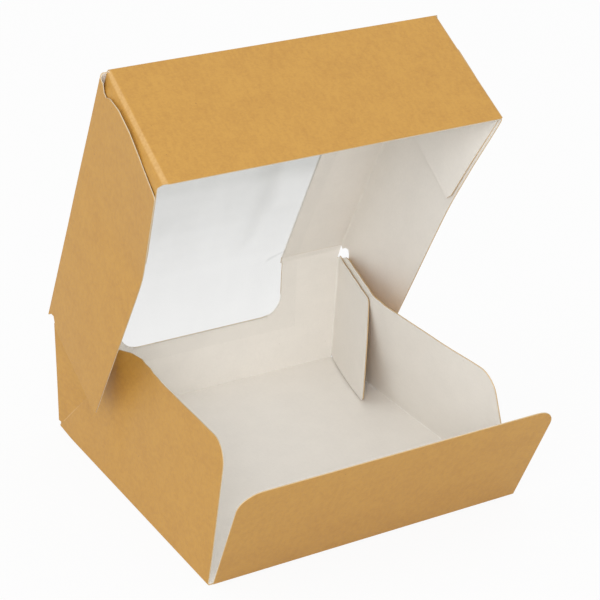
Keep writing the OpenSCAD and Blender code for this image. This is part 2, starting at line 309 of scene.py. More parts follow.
class BoxSizes(PropertyGroup):
    """Sizes of the folded box."""

    board: FloatProperty(
        name="Board thickness", description="Thickness of the folding board", default=0.5 * MM, unit="LENGTH"
    )
    film: FloatProperty(
        name="Film thickness", description="Thickness of the window film", default=0.06 * MM, unit="LENGTH"
    )
    crease: FloatProperty(
        name="Crease radius", description="Radius of a folded crease", default=0.6 * MM, unit="LENGTH"
    )
    tray_w: FloatProperty(name="Tray width", description="Width of the floor", default=120 * MM, unit="LENGTH")
    tray_d: FloatProperty(name="Tray depth", description="Depth of the floor", default=129 * MM, unit="LENGTH")
    rear_h: FloatProperty(
        name="Rear height", description="Height of the rear wall along the board", default=50 * MM, unit="LENGTH"
    )
    rear_lean: FloatProperty(
        name="Rear lean", description="How far the rear wall leans forward", default=radians(4.6), subtype="ANGLE"
    )
    side_h: FloatProperty(
        name="Side height", description="Height of a side wall along the board", default=50 * MM, unit="LENGTH"
    )
    side_lean: FloatProperty(
        name="Side lean", description="How far a side wall leans in", default=radians(11), subtype="ANGLE"
    )
    gusset: FloatProperty(
        name="Gusset length", description="Length of the rear corner's gusset along the side wall's top",
        default=52 * MM, unit="LENGTH",
    )
    corner: FloatProperty(
        name="Corner radius", description="Radius of the round corners of the front and side walls",
        default=8 * MM, unit="LENGTH",
    )
    front_lean: FloatProperty(
        name="Front lean", description="How far the front wall leans out", default=radians(28), subtype="ANGLE"
    )
    lid_open: FloatProperty(
        name="Lid opening", description="Angle of the lid above level", default=radians(59), subtype="ANGLE"
    )
    tab: FloatProperty(
        name="Tab length", description="Length of each glued tab behind the lid's front flap",
        default=45 * MM, unit="LENGTH",
    )
    window_w: FloatProperty(
        name="Window width", description="Width of the window", default=69 * MM, unit="LENGTH"
    )
    window_front: FloatProperty(
        name="Window front", description="Board left in front of the window on the lid",
        default=24 * MM, unit="LENGTH",
    )
    window_drop: FloatProperty(
        name="Window drop", description="How far the window runs down the rear wall", default=24 * MM, unit="LENGTH"
    )
    window_r: FloatProperty(
        name="Window radius", description="Radius of the window's corners", default=8 * MM, unit="LENGTH"
    )


class BoxFinish(PropertyGroup):
    """Colours of the board and the film."""

    kraft: FloatVectorProperty(
        name="Kraft", description="Colour of the brown outer face", default=(0.485, 0.257, 0.046), subtype="COLOR"
    )
    kraft_dark: FloatVectorProperty(
        name="Kraft fibres", description="Colour of the darker fibres",
        default=(0.405, 0.199, 0.034), subtype="COLOR",
    )
    lining: FloatVectorProperty(
        name="Lining", description="Colour of the pale inner face", default=(0.90, 0.865, 0.81), subtype="COLOR"
    )
    cut_edge: FloatVectorProperty(
        name="Cut edge", description="Colour of the board's cut edge", default=(0.50, 0.31, 0.11), subtype="COLOR"
    )
    edge_pale: FloatVectorProperty(
        name="Cut edge, pale side", description="Colour of the cut edge beside the pale face",
        default=(0.60, 0.51, 0.38), subtype="COLOR",
    )
    film: FloatVectorProperty(
        name="Film haze", description="Colour of the light that the film scatters",
        default=(0.26, 0.275, 0.235), subtype="COLOR",
    )
    # Scales the film's haze and its painted shade together.
    film_haze_and_shade: FloatProperty(
        name="Film haze amount", description="Share of the film's usual haze", default=0.94, min=0, max=2
    )


class BoxStage(PropertyGroup):
    """Lamps, floor and camera."""

    sky: FloatProperty(name="Room light", description="Strength of the even light from all sides", default=1.0)
    key: FloatProperty(
        name="Key lamp", description="Power of the large soft lamp beside the camera", default=10.4, unit="POWER"
    )
    side: FloatProperty(
        name="Side lamp", description="Power of the soft lamp on the left", default=2.9, unit="POWER"
    )
    floor: FloatVectorProperty(
        name="Floor", description="Colour of the floor", default=(0.80, 0.80, 0.80), subtype="COLOR"
    )
    lens: FloatProperty(name="Lens", description="Focal length in millimetres", default=113.53)
    azimuth: FloatProperty(
        name="Azimuth", description="Camera's direction round the box", default=radians(-28.62), subtype="ANGLE"
    )
    elevation: FloatProperty(
        name="Elevation", description="Camera's height above level", default=radians(24.19), subtype="ANGLE"
    )
    roll: FloatProperty(name="Roll", description="Camera's roll", default=radians(-0.63), subtype="ANGLE")
    distance: FloatProperty(
        name="Distance", description="Camera's distance from its aim", default=0.75323, unit="LENGTH"
    )
    aim: FloatVectorProperty(
        name="Aim", description="Point that the camera looks at", default=(0.04377, 0.06221, 0.03), unit="LENGTH"
    )


def across(v, d):
    """The part of v that is square to the unit direction d."""
    return v - v.dot(d) * d


def smooth(low, high, value):
    """Goes smoothly from 0 at low to 1 at high."""
    t = min(1.0, max(0.0, (value - low) / (high - low)))
    return t * t * (3 - 2 * t)


def fold_plan(s):
    """Key points and directions of the folded box, as the frame has them."""
    p = SimpleNamespace()
    p.half_w, p.half_d, p.mid = s.tray_w / 2, s.tray_d / 2, s.board / 2
    p.rear_up = Vector((0, -sin(s.rear_lean), cos(s.rear_lean)))
    p.front_up = Vector((0, -sin(s.front_lean), cos(s.front_lean)))
    p.rear_mid = Vector((0, p.half_d, p.mid))
    p.front_mid = Vector((0, -p.half_d, p.mid + FLOOR_RISE))
    p.hinge = p.rear_mid + s.rear_h * p.rear_up
    p.lid_along = Vector((0, -cos(s.lid_open), sin(s.lid_open)))
    p.lid_in = Vector((0, -sin(s.lid_open), -cos(s.lid_open)))
    p.lid_half = p.half_w + LID_SIDE_GAP
    p.lid_len = p.hinge.y + p.half_d + LID_FRONT_GAP
    p.lid_depth = p.hinge.z - LID_LIFT
    p.flap_down = cos(FRONT_FLAP_ANGLE) * p.lid_along + sin(FRONT_FLAP_ANGLE) * p.lid_in
    p.lid_front = p.hinge + p.lid_len * p.lid_along
    p.step_len = p.lid_len - LID_STEP
    p.window_half = s.window_w / 2
    p.window_len = p.lid_len - s.window_front
    p.rear_corner = {side: rear_corner(s, p, side) for side in (-1, 1)}
    p.rear_half = p.half_w - p.rear_corner[1].inset
    p.in_tray = Vector((0, 0, s.rear_h / 2))
    p.in_lid = p.hinge + p.lid_len / 2 * p.lid_along + p.lid_depth / 2 * p.lid_in
    return p


def rear_corner(s, p, side):
    """The gusset's plane at one rear corner of the tray, and where the glue flap starts."""
    c = SimpleNamespace()
    c.at = Vector((side * p.half_w, p.half_d, p.mid))
    c.side_up = Vector((-side * sin(s.side_lean), 0, cos(s.side_lean)))
    c.top = c.at - s.gusset * Y + s.side_h * c.side_up
    c.along = across(c.top - c.at, p.rear_up).normalized()
    out = p.rear_up.cross(c.along)
    c.inset = (s.board - GLUE_PRESS) / abs(out.x)
    c.flap_at = c.at - side * c.inset * X
    return c


def side_at(p, side, u):
    """Where the lid's side crease is, at distance u from the hinge."""
    return side * (p.lid_half + WIDEN[side] + SPLAY[side] * u / p.lid_len)


def new_object(name, bm, materials):
    """Puts a finished mesh into the scene as an object."""
    mesh = bpy.data.meshes.new(name)
    bm.to_mesh(mesh)
    bm.free()
    for material in materials:
        mesh.materials.append(material)
    obj = bpy.data.objects.new(name, mesh)
    bpy.context.scene.collection.objects.link(obj)
    return obj


class Board:
    """One piece of board being folded."""

    def __init__(self, middle):
        self.bm = bmesh.new()
        self.sheet = self.bm.faces.layers.int.new("sheet")
        self.crease = self.bm.verts.layers.float.new("crease")
        self.flats = []
        self.glue_sheets = {}
        self.tab_sheets = {}
        self.middle = middle

    def panel(self, origin, along, up, outline, rounds=None, flat=None):
        """Cuts a flat panel, with round corners where asked. flat is its place on the unfolded sheet."""
        place = Matrix((along, up, along.cross(up))).transposed().to_4x4()
        place.translation = origin
        corners = [self.bm.verts.new(place @ Vector((x, y, 0))) for x, y in outline]
        face = self.bm.faces.new(corners)
        face[self.sheet] = len(self.flats)
        self.flats.append((place.inverted(), flat))
        face.normal_update()
        if (face.calc_center_median() - self.middle).dot(face.normal) < 0:
            face.normal_flip()
        for index, radius in (rounds or {}).items():
            self.bevel([corners[index]], "VERTICES", radius, ROUND_STEPS)

    def bevel(self, geom, affect, radius, steps):
        return bmesh.ops.bevel(
            self.bm, geom=geom, affect=affect, offset=radius, segments=steps,
            offset_type="OFFSET", profile=0.5, clamp_overlap=False, material=-1,
        )

    def fold(self, radius, wide=(), wide_radius=0.0):
        """Joins the panels and rounds their creases, with wide_radius between the pairs of panels in wide."""
        bm = self.bm
        bmesh.ops.remove_doubles(bm, verts=bm.verts[:], dist=WELD)
        folds = {radius: [], wide_radius: []}
        for edge in bm.edges:
            if len(edge.link_faces) == 2:
                pair = {f[self.sheet] for f in edge.link_faces}
                folds[wide_radius if pair in wide else radius].append(edge)
        made = [self.bevel(edges, "EDGES", offset, FOLD_STEPS) for offset, edges in folds.items() if edges]
        strip = {f for bevel in made for f in bevel["faces"] if f.is_valid}
        bm.normal_update()
        inner = [v for v in bm.verts if v.link_faces and all(f in strip for f in v.link_faces)]
        pressed = []
        for v in inner:
            # The crease mark carries the creases' wear, painted highlight and painted shade.
            v[self.crease] = 1.0
            beside = [e.other_vert(v).co for e in v.link_edges if e.calc_length() < max(folds)]
            if beside and (v.co - sum(beside, Vector()) / len(beside)).dot(v.normal) > BEND_SEEN:
                pressed.append((v, v.co - CREASE_BEAD * v.normal))
        for v, place in pressed:
            v.co = place

    def grid(self, spans):
        """Cuts the panels across each axis at even steps, so that they can bend."""
        bm = self.bm
        for axis, low, high in spans:
            for i in range(round((high - low) / GRID_STEP) + 1):
                bmesh.ops.bisect_plane(
                    bm, geom=bm.verts[:] + bm.edges[:] + bm.faces[:], dist=ON_PLANE,
                    plane_co=axis * (low + i * GRID_STEP), plane_no=axis,
                )

    def warp(self, amount, wave, floor=None):
        """Gives the panels the slight unevenness of folded board. Nothing at or below floor moves."""
        self.bm.normal_update()
        moved = []
        for v in self.bm.verts:
            share = 1.0 if floor is None else min(1.0, max(0.0, (v.co.z - floor) / WARP_RISE))
            moved.append((v, amount * share * noise.noise(v.co / wave) * v.normal))
        for v, step in moved:
            v.co += step

    def verts_of(self, *sheets):
        """The points of the panels with these numbers."""
        return {v for v in self.bm.verts if any(f[self.sheet] in sheets for f in v.link_faces)}

    def unfold_uv(self):
        """Writes the UV map: each point's place on the unfolded sheet, in metres."""
        uv = self.bm.loops.layers.uv.new("Sheet")
        for face in self.bm.faces:
            to_panel, (start, across_flat, up_flat) = self.flats[face[self.sheet]]
            for loop in face.loops:
                at = to_panel @ loop.vert.co
                loop[uv].uv = start + at.x * across_flat + at.y * up_flat

    def finish(self, name, thickness, materials, window=0.0):
        """Makes the object, with the board's thickness. window is half the width of the window cut in it."""
        self.unfold_uv()
        obj = new_object(name, self.bm, materials)
        cut = obj.data
        solid = obj.modifiers.new("Board thickness", "SOLIDIFY")
        solid.thickness = thickness
        solid.offset = 0
        solid.use_even_offset = True
        solid.use_quality_normals = True
        solid.material_offset = LINING_SLOT
        solid.material_offset_rim = CUT_SLOT
        bpy.context.view_layer.update()
        whole = bpy.data.meshes.new_from_object(obj.evaluated_get(bpy.context.evaluated_depsgraph_get()))
        obj.modifiers.clear()
        obj.data = whole
        inward = whole.attributes.new("inward", "FLOAT", "POINT").data
        for face in whole.polygons:
            slot, mark = face.material_index, 0.0
            if slot == LINING_SLOT:
                mark = BESIDE_LINING
            # The window's cut sides are marked for painted light.
            elif slot == CUT_SLOT and abs(face.normal.x) > SIDEWAYS and abs(face.center.x) < window + WINDOW_SLACK:
                mark = AT_WINDOW
            for index in face.vertices:
                inward[index].value = max(inward[index].value, mark)
        whole.name = name
        bpy.data.meshes.remove(cut)
        whole.shade_smooth()
        whole.set_sharp_from_angle(angle=SHARP_ANGLE)
        flat = obj.modifiers.new("Flat panels", "WEIGHTED_NORMAL")
        flat.keep_sharp = True
        return obj


def flat_place(x, y, across_flat=(1, 0), up_flat=(0, 1)):
    """A panel's start on the unfolded sheet, and which way its two directions run there."""
    return Vector((x, y)), Vector(across_flat), Vector(up_flat)


def mirrored(right):
    """An outline whose right half goes up from its foot, and whose left half is the same."""
    left = [(-x, y) for x, y in right]
    return [left[0], *right, *reversed(left[1:])]


def tray_floor(board, s, p):
    half, front, rear = p.half_w, -p.half_d + FRONT_MARGIN, p.half_d
    inner = p.rear_half - FOOT_RELIEF / 2
    board.panel(
        Vector((0, 0, p.mid)), X, Y,
        mirrored([(half, front), (half, rear - RELIEF), (half - RELIEF / 2, rear), (inner, rear)]),
        flat=flat_place(0, 0),
    )


def tray_rear(board, s, p):
    half, top, cut = p.rear_half, s.rear_h - HINGE_MARGIN, FOOT_RELIEF / 2
    window, sill, shoulder = p.window_half, s.rear_h - s.window_drop, s.rear_h - FLAP_DROP - RELIEF / 2
    # The window's lower corners are points 7 and 8 of the outline.
    board.panel(
        p.rear_mid, X, p.rear_up,
        mirrored([(half - cut, 0), (half, FOOT_RELIEF), (half, shoulder), (half, top - cut), (half - cut, top),
                  (window, top), (window, sill)]),
        rounds={7: s.window_r, 8: s.window_r},
        flat=flat_place(0, p.half_d),
    )


def tray_side(board, s, p, side):
    """The side wall in front of the diagonal crease."""
    c = p.rear_corner[side]
    front = s.tray_d - SIDE_SETBACK
    diagonal = Vector((s.gusset, s.side_h)).normalized()
    foot, end = GUSSET_NOTCH * diagonal, RELIEF / 2 * diagonal
    board.panel(
        c.at, -Y, c.side_up,
        [(RELIEF, 0), (front, 0), (front - SIDE_RAKE[side], s.side_h), (s.gusset, s.side_h),
         tuple(foot), tuple(end)],
        rounds={2: SIDE_CORNER[side]},
        flat=flat_place(side * p.half_w, p.half_d, (0, -1), (side, 0)),
    )


def tray_gusset(board, s, p, side):
    """The side wall's rear part, pulled in with the corner."""
    c = p.rear_corner[side]
    top = Vector(((c.top - c.at).dot(c.along), (c.top - c.at).dot(p.rear_up)))
    slope = top.normalized()
    foot = GUSSET_NOTCH * slope
    seam = Vector((side * s.side_h, -s.gusset)).normalized()
    rise = side * Vector((-seam.y, seam.x))
    rear_rim = s.rear_h - GUSSET_DROP
    rim = rear_rim + (top.y - rear_rim) * GUSSET_CUT / top.x
    board.panel(
        c.at, c.along, p.rear_up,
        [tuple(foot), tuple(top), (GUSSET_CUT, rim), (0, rim - GUSSET_CUT_H),
         (0, GUSSET_NOTCH_H), (foot.x, GUSSET_NOTCH_H)],
        rounds={2: RELIEF},
        flat=(Vector((side * p.half_w, p.half_d)), slope.x * seam - slope.y * rise,
              slope.y * seam + slope.x * rise),
    )


def level(c, p, at, height):
    """The point of the glue flap's plane at distance at from its crease, at a height above the floor."""
    return (at, (height - at * c.along.z) / p.rear_up.z)


def tray_glue_flap(board, s, p, side):
    c = p.rear_corner[side]
    low = FLAP_LIFT + s.board / 2
    end, top = FLAP_LEN + FLAP_RAKE, s.rear_h - FLAP_DROP + FLAP_RISE
    board.panel(
        c.flap_at, c.along, p.rear_up,
        [(0, FOOT_RELIEF), level(c, p, FOOT_RELIEF, low), level(c, p, FLAP_LEN, low), (end, top),
         (RELIEF / 2, s.rear_h - FLAP_DROP), (0, s.rear_h - FLAP_DROP - RELIEF / 2)],
        rounds={2: CORNER_SMALL, 3: CORNER_SMALL},
        flat=flat_place(side * p.rear_half, p.half_d, (side, 0), (0, 1)),
    )


def bow_glue_flaps(board, s, p):
    """Below the gusset the glue flap is free, so its lower edge bows into the tray."""
    for side in (-1, 1):
        c = p.rear_corner[side]
        for v in board.verts_of(board.glue_sheets[side]):
            rel = v.co - c.flap_at
            u, h = rel.dot(c.along) / FLAP_LEN, rel.dot(p.rear_up) / s.rear_h
            v.co.x -= side * FLAP_BOW * sin(FLAP_ARC * min(1.0, max(0.0, u))) * max(0.0, 1 - h) ** FLAP_FALL
            v.co.x -= side * FLAP_PLAY * smooth(*FLAP_PLAY_FROM, u)


def soften_corners(board, p):
    """The gusset's crease runs out near the top edge, so the board turns there in a soft bend."""
    glued = board.verts_of(*board.glue_sheets.values())
    for side, (reach, times) in CORNER_SOFT.items():
        top = p.rear_corner[side].top
        near = [v for v in board.bm.verts if (v.co - top).length < reach and v not in glued]
        for _ in range(times):
            bmesh.ops.smooth_vert(board.bm, verts=near, factor=0.5, use_axis_x=True, use_axis_y=True)
        # Up the side walls the crease mark, with its painted highlight and shade, fades out.
        for v in board.bm.verts:
            if side * v.co.x > CREASE_FADE_OUT and v.co.y < p.half_d - CREASE_FADE_REAR:
                v[board.crease] *= 1 - smooth(*CREASE_FADE, v.co.z)


def along_table(table, at):
    """Value at a place between the rows of a table, kept level past its ends."""
    for (a, low), (b, high) in zip(table, table[1:]):
        if at <= b:
            return low + (high - low) * smooth(a, b, at)
    return table[-1][1]


def bend_sides(board, p):
    """The side walls' top edges wander a little, as hand-folded board does."""
    for v in board.bm.verts:
        side = 1 if v.co.x > 0 else -1
        height, ahead = max(0.0, v.co.z) / SIDE_TOP, p.half_d - v.co.y
        reach = smooth(*SIDE_FROM, abs(v.co.x) + SIDE_LEAN * height)
        out = along_table(SIDE_BENDS[side], ahead / MM) * MM
        v.co.x += side * reach * out * height ** SIDE_POWER[side]
        if side < 0:
            low = max(0.0, 1 - height) * smooth(*SIDE_FOOT_FROM, -v.co.x) * smooth(0, SIDE_FOOT_REAR, ahead)
            v.co.x -= SIDE_FOOT * low


class BOX_OT_tray(Operator):
    """Folds the tray: floor, rear wall, side walls, gussets and glue flaps"""

    bl_idname = "takeaway.tray"
    bl_label = "Tray"

    def execute(self, context):
        s = context.scene.box_sizes
        p = fold_plan(s)
        board = Board(p.in_tray)
        tray_floor(board, s, p)
        tray_rear(board, s, p)
        for side in (-1, 1):
            tray_side(board, s, p, side)
            tray_gusset(board, s, p, side)
            board.glue_sheets[side] = len(board.flats)
            tray_glue_flap(board, s, p, side)
        glued_folds = [{REAR_SHEET, sheet} for sheet in board.glue_sheets.values()]
        board.fold(TRAY_FOLD * s.crease, glued_folds, GLUED_FOLD * s.crease)
        board.grid(TRAY_GRID)
        soften_corners(board, p)
        bow_glue_flaps(board, s, p)
        bend_sides(board, p)
        board.warp(*TRAY_WARP)
        tray = board.finish("tray_board", s.board, board_materials(context), p.window_half)
        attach(tray, "tray")
        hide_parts("tray")
        return {"FINISHED"}


class BOX_OT_front_wall(Operator):
    """Cuts the front wall with its round corners, and the crease that it turns on"""

    bl_idname = "takeaway.front_wall"
    bl_label = "Front wall"

    def execute(self, context):
        s = context.scene.box_sizes
        p = fold_plan(s)
        height = s.rear_h + FRONT_RISE
        (left, left_top), (right, right_top) = FRONT_ENDS[-1], FRONT_ENDS[1]
        board = Board(p.in_tray)
        board.panel(
            p.front_mid, X, p.front_up,
            [(-left, FRONT_MARGIN), (right, FRONT_MARGIN), (right_top, height), (-left_top, height)],
            rounds={2: s.corner, 3: s.corner},
            flat=flat_place(0, -p.half_d, (1, 0), (0, -1)),
        )
        board.grid(FRONT_GRID)
        board.warp(*FRONT_WARP)
        wall = board.finish("front_wall_board", s.board, board_materials(context))
        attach(wall, "front_wall")
        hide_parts("front_wall")
        lap = FRONT_MARGIN + STRIP_LAP
        strip = crease_strip(
            context, "front_crease", p.front_mid, Y, p.front_up, [(-left, right)], lap,
            p.in_tray, flat_y=-p.half_d,
        )
        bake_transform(strip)
        return {"FINISHED"}


def crease_strip(context, name, middle, back, on, spans, lap, inside, flat_y):
    """The board at a crease that turns: one band along each of the two panels that meet there."""
    s = context.scene.box_sizes
    board = Board(inside)
    for left, right in spans:
        outline = [(left, 0), (right, 0), (right, lap), (left, lap)]
        board.panel(middle, X, back, outline, flat=flat_place(0, flat_y))
        board.panel(middle, X, on, outline, flat=flat_place(0, flat_y, (1, 0), (0, -1)))
    board.fold(lap * STRIP_FOLD)
    strip = board.finish(name, s.board - STRIP_THINNER, board_materials(context))
    return strip


def lid_top(board, s, p):
    half, front, window, cut = p.lid_half, p.lid_len, p.window_half, LID_NOTCH / 2
    (left, left_step), (right, right_step) = (
        (side_at(p, side, LID_NOTCH), side_at(p, side, p.step_len)) for side in (-1, 1)
    )
    # The window's front corners are points 12 and 13 of the outline.
    board.panel(
        p.hinge, X, p.lid_along,
        [(window, HINGE_MARGIN), (half - cut, HINGE_MARGIN), (right, LID_NOTCH), (right_step, p.step_len),
         (half, p.step_len), (half, front), (-half, front), (-half, p.step_len), (left_step, p.step_len),
         (left, LID_NOTCH), (-half + cut, HINGE_MARGIN), (-window, HINGE_MARGIN),
         (-window, p.window_len), (window, p.window_len)],
        rounds={12: s.window_r, 13: s.window_r},
        flat=flat_place(0, p.half_d + s.rear_h),
    )


def lid_front_flap(board, s, p):
    half, depth = p.lid_half, p.lid_depth
    board.panel(
        p.lid_front, X, p.flap_down,
        mirrored([(half, 0), (half, TAB_TRIM), (half, depth - RELIEF / 4), (half - RELIEF / 2, depth)]),
        flat=flat_place(0, p.half_d + s.rear_h + p.lid_len),
    )


def lid_side_flap(board, s, p, side):
    start = p.hinge + side * (p.lid_half + WIDEN[side]) * X
    along = (p.lid_len * p.lid_along + side * SPLAY[side] * X).normalized()
    down = across(cos(LEAN[side]) * p.lid_in - side * sin(LEAN[side]) * X, along).normalized()
    stretch = hypot(1, SPLAY[side] / p.lid_len)
    deep = p.lid_depth - SIDE_FLAP_SHORT
    front = [(p.lid_len - back * MM, low * MM) for back, low in SIDE_FLAP_FRONT[side]]
    rear = [(at * MM, low * MM) for at, low in SIDE_FLAP_REAR]
    board.panel(
        start, along, down,
        [(LID_NOTCH * stretch, 0), (p.step_len * stretch, 0), *front, (0, deep - SIDE_FLAP_TAPER[side]),
         *rear, (0, LID_NOTCH)],
        rounds={len(front) + 1: CORNER_SMALL / 2, len(front) + 2: CORNER_SMALL},
        flat=flat_place(side * p.lid_half, p.half_d + s.rear_h, (0, 1), (side, 0)),
    )


def lid_tab(board, s, p, side):
    root = p.lid_front + side * p.lid_half * X
    reach = p.lid_len - s.tab
    inset = side * (sin(LEAN[side]) * p.lid_depth / 2 + s.board + TAB_GAP[side])
    seat = p.hinge + reach * p.lid_along + (side_at(p, side, reach) - inset) * X
    back = across(seat - root, p.flap_down).normalized()
    depth = p.lid_depth
    root_rise, end_rise = TAB_RISE[side]
    board.panel(
        root, back, p.flap_down,
        [(0, TAB_TRIM), (s.tab, TAB_TRIM + TAB_TAPER), (s.tab, depth - TAB_TRIM - TAB_TAPER),
         (s.tab - TAB_TAPER, depth - end_rise), (TAB_TAPER, depth - root_rise), (0, depth - RELIEF / 4)],
        flat=flat_place(side * p.lid_half, p.half_d + s.rear_h + p.lid_len, (side, 0), (0, 1)),
    )


def bow_side_flaps(board, p):
    """Between their held ends the side flaps bow inwards, most where the tabs end, and the right front spreads."""
    tabs = board.verts_of(*board.tab_sheets.values()) - board.verts_of(LID_FRONT_SHEET)
    for v in board.bm.verts:
        rel = v.co - p.hinge
        at, low = rel.dot(p.lid_along) / MM, rel.dot(p.lid_in) / p.lid_depth
        if abs(v.co.x) < BOW_FROM[0] or low < BOW_FROM[1]:
            continue
        side = 1 if v.co.x > 0 else -1
        crest, front = LID_CREST[side]
        from_hinge, from_front = at / crest, (front - at) / BOW_FALL
        share = -log(exp(-BOW_CORNER * from_hinge) + exp(-BOW_CORNER * from_front)) / BOW_CORNER
        v.co.x -= side * LID_BOW[side] * max(0.0, share) * low ** BOW_POWER
        if v in tabs:
            back = p.lid_len / MM - at
            tuck = side * TAB_TUCK[side] * smooth(*TAB_TUCK_LOW, low) * smooth(*TAB_TUCK_BACK, back)
            v.co.x -= tuck * max(0.0, 1 - back / TAB_TUCK_LEN)
        if side > 0:
            pinch = LID_PINCH * low * (1 - smooth(*LID_PINCH_FROM, at))
            v.co.x += LID_SPREAD * low * smooth(*LID_SPREAD_FROM, at) - pinch


class BOX_OT_lid(Operator):
    """Folds the lid: top, front flap, side flaps and glued tabs, with the crease that it turns on"""

    bl_idname = "takeaway.lid"
    bl_label = "Lid"

    def execute(self, context):
        s = context.scene.box_sizes
        p = fold_plan(s)
        board = Board(p.in_lid)
        lid_top(board, s, p)
        lid_front_flap(board, s, p)
        for side in (-1, 1):
            lid_side_flap(board, s, p, side)
            board.tab_sheets[side] = len(board.flats)
            lid_tab(board, s, p, side)
        board.fold(LID_FOLD * s.crease)
        starts = ((axis, p.hinge.dot(axis)) for axis in (X, p.lid_along, p.lid_in))
        board.grid((axis, at + low, at + high) for (axis, at), (low, high) in zip(starts, LID_GRID))
        bow_side_flaps(board, p)
        board.warp(*LID_WARP)
        lid = board.finish("lid_board", s.board, board_materials(context), p.window_half)
        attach(lid, "lid")
        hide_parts("lid")
        end = p.lid_half - LID_NOTCH / 2
        strip = crease_strip(
            context, "lid_crease", p.hinge, -p.rear_up, p.lid_along,
            [(-end, -p.window_half), (p.window_half, end)], HINGE_MARGIN + STRIP_LAP,
            p.in_lid, flat_y=p.half_d + s.rear_h,
        )
        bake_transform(strip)
        return {"FINISHED"}


class BOX_OT_window(Operator):
    """Lays the film over the window, in one sheet from the rear wall to the lid"""

    bl_idname = "takeaway.window"
    bl_label = "Window film"

    def execute(self, context):
        s = context.scene.box_sizes
        p = fold_plan(s)
        width = s.window_w + 2 * FILM_MARGIN
        low, high = -(s.window_drop + FILM_MARGIN), p.window_len + FILM_MARGIN
        bm = bmesh.new()
        bmesh.ops.create_grid(bm, x_segments=FILM_CELLS[0], y_segments=FILM_CELLS[1], size=0.5)
        bmesh.ops.scale(bm, vec=(width, high - low, 1), verts=bm.verts[:])
        bmesh.ops.translate(bm, vec=(0, (low + high) / 2, 0), verts=bm.verts[:])
        uv = bm.loops.layers.uv.verify()
        for face in bm.faces:
            for loop in face.loops:
                loop[uv].uv = loop.vert.co.xy
        rear_in, lid_in = X.cross(p.rear_up), p.lid_in
        lift = s.board / 2 + s.film / 2 + FILM_LIFT
        seat = p.hinge + lift * (rear_in + lid_in) / (1 + rear_in.dot(lid_in))
        bend = rear_in.angle(lid_in)
        haze_and_shade = bm.verts.layers.float.new("haze_and_shade")
        for v in bm.verts:
            x, along = v.co.x, v.co.y
            # Its haze, with the painted shade and light, is kept for the film's alpha.
            v[haze_and_shade] = film_haze_and_shade(x / MM, along / MM, s.window_drop / MM, p.window_half / MM, s.window_r / MM)
            free = smooth(0, FILM_FREE, p.window_half - abs(x))
            free *= smooth(0, FILM_FREE_FRONT, p.window_len - along) * smooth(0, FILM_FREE, along + s.window_drop)
            reach = FOLD_LEAST + FOLD_MORE * smooth(0, FOLD_WIDE, p.window_half - abs(x))
            turn = min(1.0, max(0.0, (along + reach) / (2 * reach)))
            v.co = self.on_profile(along, turn, reach, bend, seat, p)
            v.co.x = x
            v.co += free * wrinkle(x, along) * (rear_in * (1 - turn) + lid_in * turn).normalized()
        film = new_object("window_film", bm, [film_material(context)])
        film.data.shade_smooth()
        solid = film.modifiers.new("Film thickness", "SOLIDIFY")
        solid.thickness = s.film
        solid.offset = 0
        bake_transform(film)
        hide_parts("rear_film", "lid_film")
        return {"FINISHED"}

    @staticmethod
    def on_profile(along, turn, reach, bend, seat, p):
        """The film's place at distance along from the crease, with the fold spread over reach each way."""
        if turn <= 0:
            return seat + along * p.rear_up
        if turn >= 1:
            return seat + along * p.lid_along
        radius = reach / tan(bend / 2)
        start = seat - reach * p.rear_up
        centre = start + radius * X.cross(p.rear_up)
        return centre + Matrix.Rotation(turn * bend, 3, "X") @ (start - centre)


def film_haze_and_shade(x, along, drop, half, radius):
    """How milky and how shaded the film is at a place in mm: clear where it is glued, with painted shade growing up
    the lid and along its soft folds, and painted light beside the long fold.
    """
    beside, below = abs(x) - half + radius, -along - drop + radius
    past_corner = min(beside, below) > 0 and hypot(beside, below) > radius + GLUE_CORNER
    if abs(x) > half + GLUE_SIDE or along < -drop or past_corner:
        return GLUED_HAZE
    haze_and_shade = along_table(HAZE_AND_SHADE_ROWS, along)
    fold = x - along_table(FOLD_ROWS, along)
    width = FOLD_LEFT if fold < 0 else FOLD_RIGHT
    haze_and_shade += FOLD_SHADE * exp(-((fold / width) ** 2)) * smooth(*FOLD_FROM, along)
    haze_and_shade -= CLEAR_LIGHT * smooth(*CLEAR_BESIDE, fold) * smooth(*CLEAR_FROM, along) * (1 - smooth(*CLEAR_TO, along))
    haze_and_shade += FRONT_SHADE * smooth(*FRONT_FROM, along) * smooth(*FRONT_RIGHT, x)
    nick = along - NICK_ALONG - NICK_SLOPE * (x - NICK_X)
    haze_and_shade += NICK_SHADE * exp(-((nick / NICK_WIDE) ** 2)) * smooth(*NICK_FROM, x)
    return haze_and_shade + PATCH_SHADE * exp(-(((x - PATCH_X) / PATCH_WIDE) ** 2) - ((along - PATCH_ALONG) / PATCH_LONG) ** 2)


def wrinkle(x, along):
    """How far the slack film stands off its plane, with one soft pleat down the lid's window."""
    at = Vector((x / WAVE_WIDE, along / WAVE_LONG, WAVE_START))
    wave = WAVE_HIGH * noise.noise(at) + WAVE_LOW * noise.noise(at * WAVE_FINER)
    beside = (x - PLEAT_X) - PLEAT_SLOPE * (along - PLEAT_ALONG)
    pleat = exp(-((beside / PLEAT_WIDE) ** 2)) * smooth(*PLEAT_FROM, along)
    return wave - PLEAT_DEEP * (pleat * smooth(0, PLEAT_FADE, PLEAT_END - along))


def new_node(tree, kind, inputs=None, **values):
    """Adds a node, sets its own values, and fills or links its inputs."""
    node = tree.nodes.new(kind)
    for name, value in values.items():
        setattr(node, name, value)
    for name, value in (inputs or {}).items():
        if isinstance(value, bpy.types.NodeSocket):
            tree.links.new(value, node.inputs[name])
        else:
            node.inputs[name].default_value = value
    return node


def math_node(tree, operation, first, second):
    return new_node(tree, "ShaderNodeMath", {0: first, 1: second}, operation=operation).outputs[0]


